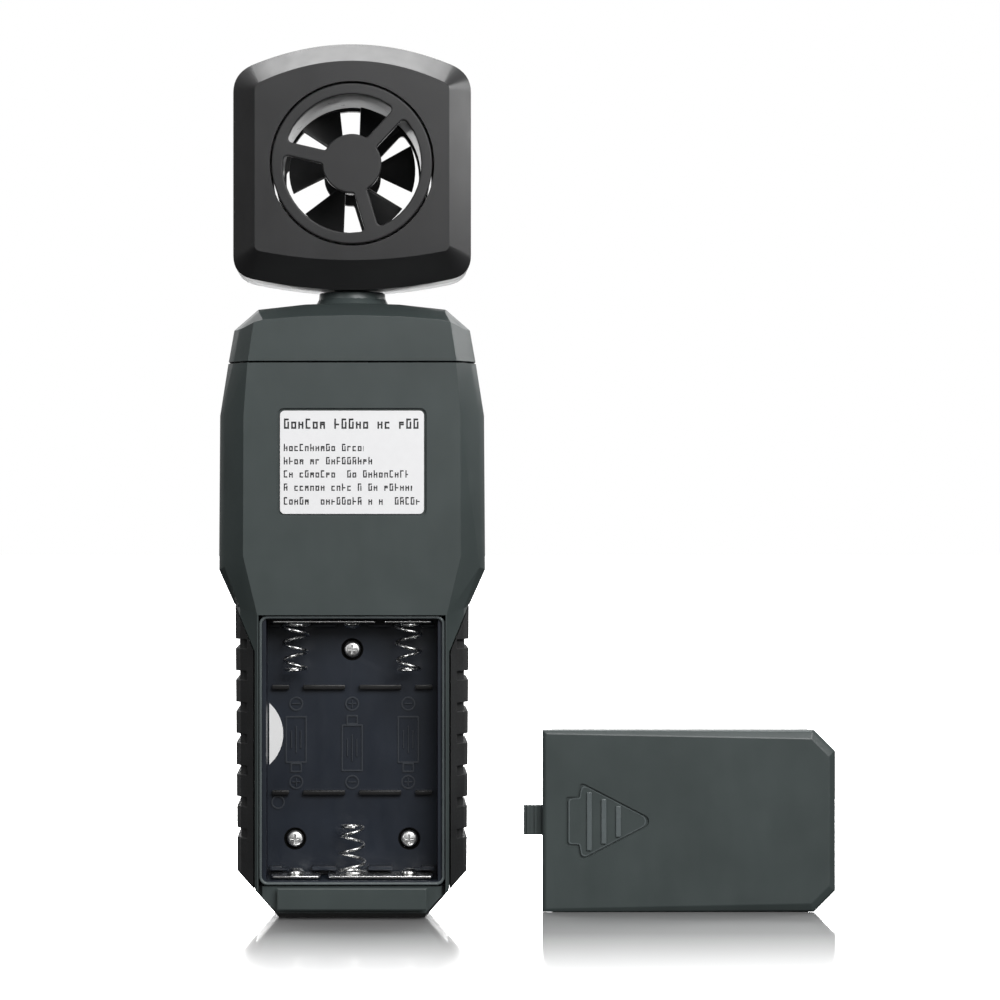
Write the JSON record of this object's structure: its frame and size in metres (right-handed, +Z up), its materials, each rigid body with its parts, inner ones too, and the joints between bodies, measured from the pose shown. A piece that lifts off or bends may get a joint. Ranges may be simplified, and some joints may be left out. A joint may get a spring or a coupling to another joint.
{
  "type": "vane anemometer",
  "caption": "Pocket wind meter with a swivelling vane head in a ducted square housing, rubber side grips and an open battery bay with its cover beside it.",
  "frame": {"origin": "centre of the foot face that the instrument stands on", "axes": "+Z up the length of the instrument to the vane head, +Y out of its rear face with the battery bay, +X to its right-hand side seen from the display"},
  "size_m": [0.1187, 0.029, 0.1656],
  "materials": {
    "housing": "satin",
    "head": "satin",
    "head_front": "satin",
    "rubber": "matte",
    "tray": "satin",
    "nickel": "bright",
    "label": "satin",
    "circuit_board": "satin",
    "black_plastic": "satin",
    "display_glass": "gloss",
    "window": "gloss",
    "sleeve": "satin",
    "brass": "satin",
    "light_plastic": "satin",
    "red_wire": "satin",
    "vane": "satin",
    "key": "matte"
  },
  "bodies": {
    "housing": {"rear_housing": "housing", "front_housing": "housing", "top_cap": "housing", "grip_left": "rubber", "grip_right": "rubber", "battery_tray": "tray", "rear_label": "label", "inspection_sticker": "label", "contact_top_pair": "nickel", "contact_top_single": "nickel", "contact_bottom_single": "nickel", "contact_bottom_pair": "nickel", "battery_spring_left": "nickel", "battery_spring_right": "nickel", "battery_spring_middle": "nickel", "main_board": "circuit_board", "controller_chip": "black_plastic", "lead_socket": "light_plastic", "neck_bush": "light_plastic", "tray_screw_1": "nickel", "tray_screw_2": "nickel", "tray_screw_3": "nickel", "key_mode_switch": "black_plastic", "key_units_switch": "black_plastic", "key_power_switch": "black_plastic", "display_window": "window", "display_glass": "display_glass", "display_backlight": "light_plastic", "display_connector_strip": "black_plastic", "battery_lead_red": "red_wire", "battery_lead_black": "black_plastic"},
    "head": {"head_rear_shell": "head", "head_front_shell": "head_front", "rear_guard": "head", "front_guard": "head", "duct_sleeve": "sleeve", "bearing_rear": "brass", "bearing_front": "brass", "neck_spigot": "black_plastic", "spigot_clip": "nickel", "sensor_board": "circuit_board", "pickup_sensor": "black_plastic", "thermistor": "brass", "sensor_lead": "black_plastic"},
    "impeller": {"impeller": "vane", "impeller_shaft": "nickel", "impeller_magnet": "black_plastic"},
    "key_mode": {"key_mode": "key"},
    "key_units": {"key_units": "key"},
    "key_power": {"key_power": "key"},
    "battery_cover": {"battery_cover": "housing"}
  },
  "joints": [
    {"name": "head_swivel", "type": "hinge", "parent": "housing", "child": "head", "pos_m": [0, 0, 0.1193], "axis": [0, 0, 1], "range_deg": [-90, 90]},
    {"name": "impeller_spin", "type": "hinge", "parent": "head", "child": "impeller", "pos_m": [0, 0, 0.1432], "axis": [0, 1, 0], "continuous": true},
    {"name": "key_mode_press", "type": "slide", "parent": "housing", "child": "key_mode", "axis": [0, 1, 0], "range_m": [0, 0.0008], "stiffness_N_per_m": 800},
    {"name": "key_units_press", "type": "slide", "parent": "housing", "child": "key_units", "axis": [0, 1, 0], "range_m": [0, 0.0008], "stiffness_N_per_m": 800},
    {"name": "key_power_press", "type": "slide", "parent": "housing", "child": "key_power", "axis": [0, 1, 0], "range_m": [0, 0.0008], "stiffness_N_per_m": 800},
    {"name": "battery_cover_slide", "type": "slide", "parent": "housing", "child": "battery_cover", "axis": [-1, 0, 0], "range_m": [0, 0.026]}
  ]
}
